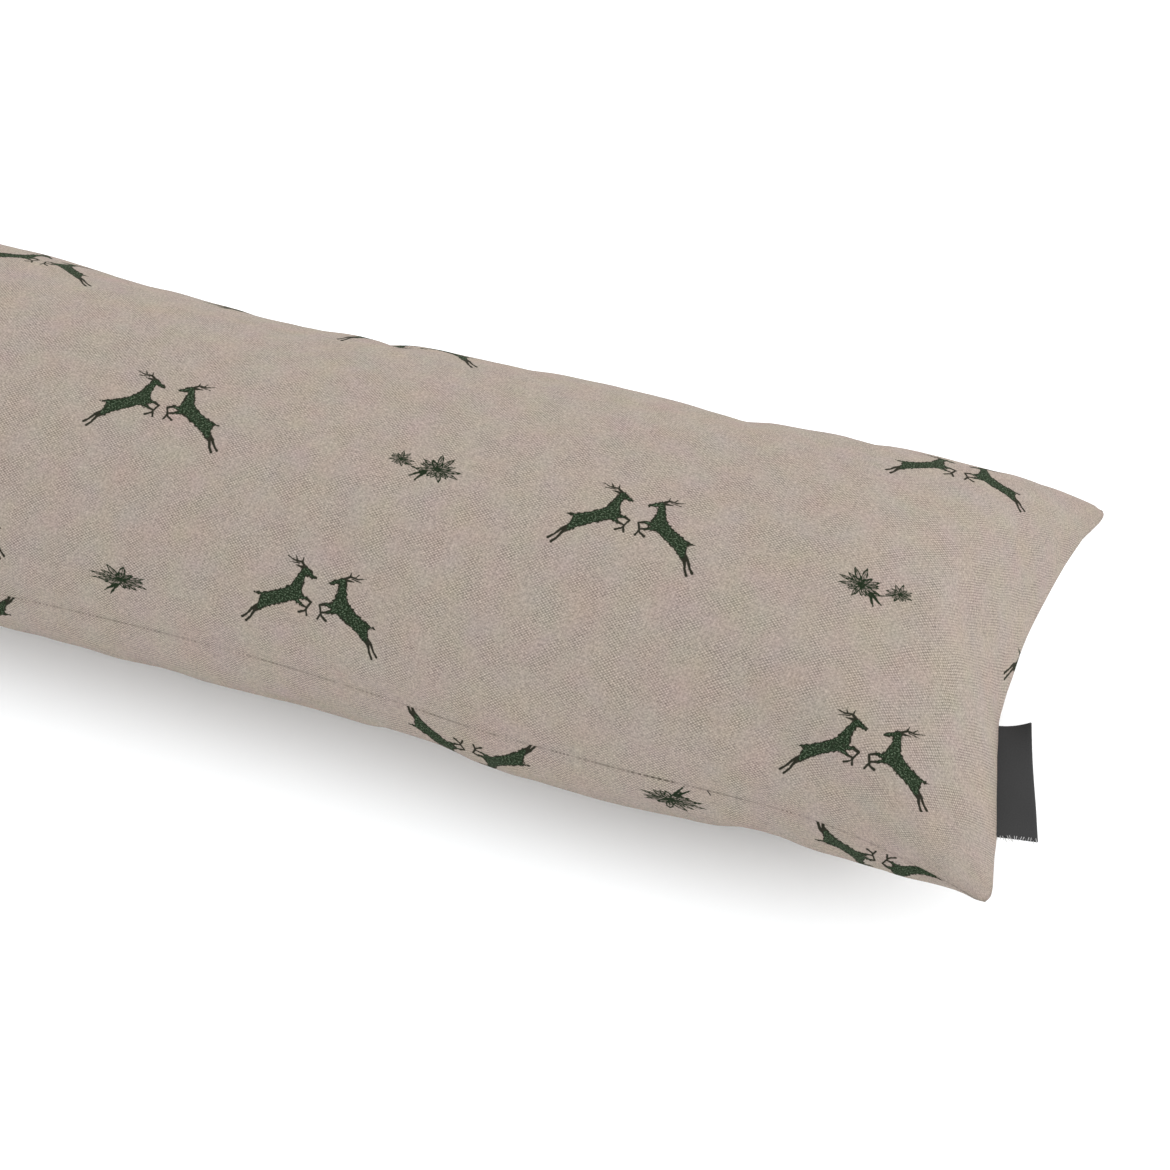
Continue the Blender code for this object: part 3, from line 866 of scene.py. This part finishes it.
ragged = panama.noise(cloth_place, RAGGED_SCALE)
uneven_pen = (ragged - 0.5) * PEN_UNEVENNESS
outer_lines = inked(abs(outer_petals + OUTER_RING.inset) - PEN_LINE + uneven_pen)
outer_veins = inked(vein - VEIN_LINE + uneven_pen) * inked(outer_petals)
inner_lines = inked(abs(middle_petals + MIDDLE_RING.inset) - PEN_LINE + uneven_pen)
inner_lines = inner_lines.most(inked(abs(inner_petals + INNER_RING.inset) - INNER_LINE))
flower_heart = inked(abs(reach - HEART_REACH) - HEART_LINE).most(inked(middle_petals) * HEART_SHADE)
flower_ink = outer_lines.most(outer_veins).most(inner_lines).most(flower_heart)
flower_ink = flower_ink.most(inked(leaves + uneven_pen))
coat = stag_body - ragged.ramp(0.35, 0.75) * TUFTS + TUFTS_FROM
stag_ink = inked(coat).most(inked(stag_limbs + uneven_pen * LIMB_UNEVENNESS + LIMB_THINNING))
hatching = panama.noise(cloth_place.vector("MULTIPLY", (1.0, HATCHING_FLATNESS, 0.0)),
                        HATCHING_SCALE, detail=2.0, roughness=0.6)
pale_share = hatching.ramp(0.52, 0.68) * inked(stag_body, low=HATCHED_FROM) * HATCHING_SHARE
ink_colour = panama.blend(inked(stag_body, low=COAT_EDGE), BLACK_INK, GREEN_INK)
ink_colour = panama.blend(pale_share, ink_colour, PALE_INK)
ink_colour = panama.blend(flower_ink, ink_colour, GREEN_INK)
taken_up = flecks.ramp(0.10, 0.50) * (1 - LEAST_TAKEN_UP) + LEAST_TAKEN_UP
ink_share = stag_ink.most(flower_ink).most(inked(outer_petals) * PETAL_SHADE) * taken_up
cloth_colour = panama.blend(ink_share, yarn_colour, ink_colour)

# The seam is a fine dark line of painted shade where the two panels turn in, and here and there
# a stitch of its dark thread shows.
SEAM_LINE = 0.00045
SEAM_FOLD = 0.0014
SEAM_RELIEF = 0.0006
SEAM_SHADE = (0.12, 0.11, 0.10, 1.0)
SEAM_LIGHTEST = 0.10        # share of the painted shade where the seam is closed, more where it gapes
SEAM_GAPING = 0.34
STITCH_PITCH = 0.0022
STITCH_APART = 0.42         # share of the pitch between two stitches
STITCH_DARKNESS = 0.45
STITCHES_SHOW_AT = 0.336    # along the front seam, by the thread's end
STITCHES_SHOW_REACH = 0.006
STITCHES_FADE = 0.002
flat_place = panama.node("ShaderNodeAttribute", {"attribute_name": "flat"}, (), 1)
flat_along, flat_across = flat_place.parts()
from_seam_line = PANEL_WIDTH / 2 - abs(flat_across)
seam_line = from_seam_line.ramp(SEAM_LINE, SEAM_LINE * 0.3)
stitch = (flat_along / STITCH_PITCH) % 1.0 > STITCH_APART
stitches_show = (abs(flat_along - STITCHES_SHOW_AT) - STITCHES_SHOW_REACH).ramp(STITCHES_FADE, 0.0)
seam_depth = blotches.ramp(0.35, 0.65) * SEAM_GAPING + SEAM_LIGHTEST
seam_depth = seam_depth + stitch * stitches_show * STITCH_DARKNESS
# painted shade in the seam's fold, darker still at the stitches of its dark thread
seam_shade_and_stitches = panama.blend(seam_line * seam_depth, (1.0, 1.0, 1.0, 1.0), SEAM_SHADE)
cloth_colour = panama.blend(1.0, cloth_colour, seam_shade_and_stitches, "MULTIPLY")
seam_dip = from_seam_line.ramp(0.0, SEAM_FOLD)

weave_bump = panama.bump(yarn_height * weave_shows, 0.40, WEAVE_RELIEF)
panama.set(Base_Color=cloth_colour, Roughness=CLOTH_ROUGHNESS, Specular_IOR_Level=0.0,
           Sheen_Weight=FUZZ, Sheen_Roughness=FUZZ_ROUGHNESS, Sheen_Tint=FUZZ_COLOUR,
           Normal=panama.bump(seam_dip, 0.6, SEAM_RELIEF, weave_bump))
panama.dress(cover)

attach(cover, "root")
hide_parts("bolster")

# ----------------------------------------
# The end of the dark sewing thread, cotton or polyester, cut off a little long where the
# turning gap in the front seam was closed, so that a bit of it sticks out.
# ----------------------------------------
THREAD_RADIUS = 0.00016
THREAD_AT = 0.3443          # along the front seam
THREAD_ROOT = Vector((-0.0006, 0.0008, 0.0))
THREAD_TAIL = Vector((0.0016, -0.0014, -0.0003))
THREAD_BEND_BEFORE = Vector((-0.0003, 0.0005, 0.0002))
THREAD_BEND_AFTER = Vector((0.0006, -0.0006, 0.0004))
THREAD_COLOUR = (0.020, 0.016, 0.013, 1.0)

placed = read(cover.data.vertices, "co", 3)
flat = read(cover.data.attributes["flat"].data, "vector", 3)
front_seam = placed[flat[:, 1] < SEWN_DISTANCE - PANEL_WIDTH / 2]
front_seam = front_seam[np.argsort(front_seam[:, 0])]
thread_y = np.interp(THREAD_AT, front_seam[:, 0], front_seam[:, 1])
thread_z = np.interp(THREAD_AT, front_seam[:, 0], front_seam[:, 2])
bpy.ops.object.select_all(action="DESELECT")
bpy.ops.curve.primitive_bezier_curve_add()
thread_end = bpy.context.object
thread_end.name = "thread_end"
tail = thread_end.data.splines[0].bezier_points
rooted = Vector((THREAD_AT, thread_y, thread_z))
for point, spot in zip(tail, (rooted + THREAD_ROOT, rooted + THREAD_TAIL)):
    point.co = spot
    point.handle_left = spot + THREAD_BEND_BEFORE
    point.handle_right = spot + THREAD_BEND_AFTER
thread_end.data.resolution_u = 6
thread_end.data.bevel_depth = THREAD_RADIUS
thread_end.data.bevel_resolution = 2
thread_end.data.use_fill_caps = True
bpy.ops.object.convert(target="MESH")
bpy.ops.object.shade_smooth()
spun = Finish("spun thread")
spun.set(Base_Color=THREAD_COLOUR, Roughness=0.8)
spun.dress(thread_end)
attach(thread_end, "root")

# ----------------------------------------
# The label: a black woven ribbon folded in two, its ends caught in the label end's seam. It
# is bare here. Its back corner curls up, and its cut edge in front frays.
# ----------------------------------------
LABEL_FROM = -0.0170        # where its edges meet the seam
LABEL_TO = -0.0612
LABEL_REACH_BACK = 0.0098   # how far it sticks out there
LABEL_REACH_FRONT = 0.0123
LABEL_TUCK = 0.0035         # how much of it is inside the seam
LABEL_FOLD = 0.00035        # the radius of its fold
LABEL_THICKNESS = 0.0003
LABEL_CURL = 0.0054
LABEL_CURL_SHARE = 0.30     # of its length, from the back corner
LABEL_SAG = 0.0006
LABEL_WAVE = 0.0003
LABEL_WAVES = 11.0          # radians, from end to end
LABEL_ROWS = 48
LAYER_CELLS = 12
FOLD_CELLS = 6
SECTION_CELLS = 2 * LAYER_CELLS + FOLD_CELLS
LABEL_COLOUR = (0.0120, 0.0120, 0.0125, 1.0)
LABEL_RIB_COLOUR = (0.0220, 0.0220, 0.0225, 1.0)
LABEL_HIGHLIGHT_AND_FIBRE_COLOUR = (0.1000, 0.1000, 0.1020, 1.0)
RIB_PITCH = 0.00030
RIB_RELIEF = 0.00006
FOLD_HIGHLIGHT_WIDTH = 0.00035         # the fold's, painted a little lighter as a highlight; the cut edge is lighter too, where its pale threads end
CUT_EDGE_WIDTH = 0.0005
HIGHLIGHT_AND_FIBRE_SHARE = 0.55
FIBRE_SCALE = 2500.0
RIBBON_ROUGHNESS = 0.70
RIBBON_SHINE = 0.3

end_seam = placed[flat[:, 0] > PANEL_LENGTH / 2 - SEWN_DISTANCE]
end_seam = end_seam[np.argsort(end_seam[:, 1])]
label_y = np.linspace(LABEL_FROM, LABEL_TO, LABEL_ROWS + 1)
root_line = np.stack([np.interp(label_y, end_seam[:, 1], end_seam[:, axis]) for axis in range(3)], axis=1)
root_line = root_line[0] + np.linspace(0, 1, LABEL_ROWS + 1)[:, None] * (root_line[-1] - root_line[0])
label_run = root_line[-1] - root_line[0]
LABEL_LENGTH = np.linalg.norm(label_run)
outward = np.array([-label_run[1], label_run[0], 0.0]) / np.hypot(label_run[0], label_run[1])

bpy.ops.object.select_all(action="DESELECT")
bpy.ops.mesh.primitive_grid_add(x_subdivisions=SECTION_CELLS, y_subdivisions=LABEL_ROWS, size=2)
label = bpy.context.object
label.name = "label"
label.data.name = "label"
grid = read(label.data.vertices, "co", 3)
column = np.round((grid[:, 0] + 1) / 2 * SECTION_CELLS).astype(int)
row = np.round((grid[:, 1] + 1) / 2 * LABEL_ROWS).astype(int)
down = row / LABEL_ROWS
reach_here = LABEL_REACH_BACK + (LABEL_REACH_FRONT - LABEL_REACH_BACK) * down - LABEL_FOLD
layer_share = np.clip(np.minimum(column, SECTION_CELLS - column) / LAYER_CELLS, 0, 1)
fold_turn = np.clip((column - LAYER_CELLS) / FOLD_CELLS, 0, 1) * pi
out_by = -LABEL_TUCK + layer_share * (reach_here + LABEL_TUCK) + LABEL_FOLD * np.sin(fold_turn)
free = np.clip(out_by / LABEL_REACH_FRONT, 0, 1.2)
rise = LABEL_FOLD * np.cos(fold_turn)
rise = rise + LABEL_CURL * free ** 2 * np.maximum(0, 1 - down / LABEL_CURL_SHARE) ** 2
rise = rise - LABEL_SAG * free ** 1.5 + LABEL_WAVE * np.sin(down * LABEL_WAVES) * free
shaped = root_line[row] + out_by[:, None] * outward
shaped[:, 2] += rise
label.data.vertices.foreach_set("co", shaped.ravel())
unfolded = np.where(column <= LAYER_CELLS, -1, 1) * (1 - layer_share) * (reach_here + LABEL_TUCK)
unfolded = unfolded + LABEL_FOLD * (fold_turn - pi / 2)
corners = read(label.data.loops, "vertex_index", 1).astype(int).ravel()
ribbon_map = label.data.uv_layers[0]
ribbon_map.name = "ribbon"
ribbon_map.data.foreach_set("uv", np.stack([unfolded, down * LABEL_LENGTH], axis=1)[corners].ravel())
woven = label.modifiers.new("woven", "SOLIDIFY")
woven.thickness = LABEL_THICKNESS
woven.offset = 0
bpy.ops.object.modifier_apply(modifier="woven")
bpy.ops.object.shade_smooth()

ribbon = Finish("woven ribbon")
ribbon_place = ribbon.node("ShaderNodeUVMap", {"uv_map": "ribbon"})
ribbon_across, ribbon_along = ribbon_place.parts()
rib = (ribbon_along * (2 * pi / RIB_PITCH)).sine() * 0.5 + 0.5
fibre = ribbon.noise(ribbon_place, FIBRE_SCALE)
ribbon_colour = ribbon.blend(rib * 0.5 + fibre.ramp(0.3, 0.7) * 0.5, LABEL_COLOUR, LABEL_RIB_COLOUR)
# Painted highlight along the fold, and the pale thread ends of the cut edge, in one lighter colour.
fold_highlight = abs(ribbon_across).ramp(FOLD_HIGHLIGHT_WIDTH, FOLD_HIGHLIGHT_WIDTH * 0.4)
cut_edge = (LABEL_LENGTH - ribbon_along).ramp(CUT_EDGE_WIDTH, CUT_EDGE_WIDTH / 5) * fibre.ramp(0.45, 0.55)
ribbon_colour = ribbon.blend(fold_highlight.most(cut_edge) * HIGHLIGHT_AND_FIBRE_SHARE, ribbon_colour, LABEL_HIGHLIGHT_AND_FIBRE_COLOUR)
ribbon.set(Base_Color=ribbon_colour, Roughness=RIBBON_ROUGHNESS, Specular_IOR_Level=RIBBON_SHINE,
           Normal=ribbon.bump(rib, 0.4, RIB_RELIEF))
ribbon.dress(label)
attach(label, "root")
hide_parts("seam_label")

# ----------------------------------------
# The frayed edge: the pale ends of the ribbon's lengthwise threads, which stick out a
# millimetre at its cut edge in front.
# ----------------------------------------
FRAY_COUNT = 17
FRAY_RADIUS = 0.00010
FRAY_LENGTH = 0.0011
FRAY_ROOTED = 0.0006        # how much of a thread is inside the ribbon
FRAY_SHUFFLE = 12.9898      # makes the threads uneven
FRAY_SHIFT = 0.4
FRAY_LEAN = 0.35
FRAY_COLOUR = (0.420, 0.418, 0.415, 1.0)

run_direction = Vector(label_run / LABEL_LENGTH)
fray = []
for number in range(FRAY_COUNT):
    chance = sin(number * FRAY_SHUFFLE) * 0.5 + 0.5
    out_share = (number + FRAY_SHIFT * chance) / FRAY_COUNT
    length = FRAY_LENGTH * (0.5 + chance)
    leaning = (run_direction + Vector(outward) * (2 * FRAY_LEAN * chance - FRAY_LEAN)).normalized()
    spot = Vector(root_line[-1]) + Vector(outward) * (out_share * LABEL_REACH_FRONT)
    spot += leaning * (length - FRAY_ROOTED) / 2
    spot.z += (LABEL_FOLD if number % 3 else -LABEL_FOLD) - LABEL_SAG * out_share ** 1.5
    bpy.ops.object.select_all(action="DESELECT")
    bpy.ops.mesh.primitive_cylinder_add(vertices=6, radius=FRAY_RADIUS, depth=length + FRAY_ROOTED,
                                        location=spot, rotation=leaning.to_track_quat("Z", "Y").to_euler())
    fray.append(bpy.context.object)
frayed_edge = joined(fray)
frayed_edge.name = "frayed_edge"
bpy.ops.object.transform_apply(location=True, rotation=True, scale=True)
bpy.ops.object.shade_smooth()
combed = Finish("frayed thread")
combed.set(Base_Color=FRAY_COLOUR, Roughness=0.8)
combed.dress(frayed_edge)
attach(frayed_edge, "root")
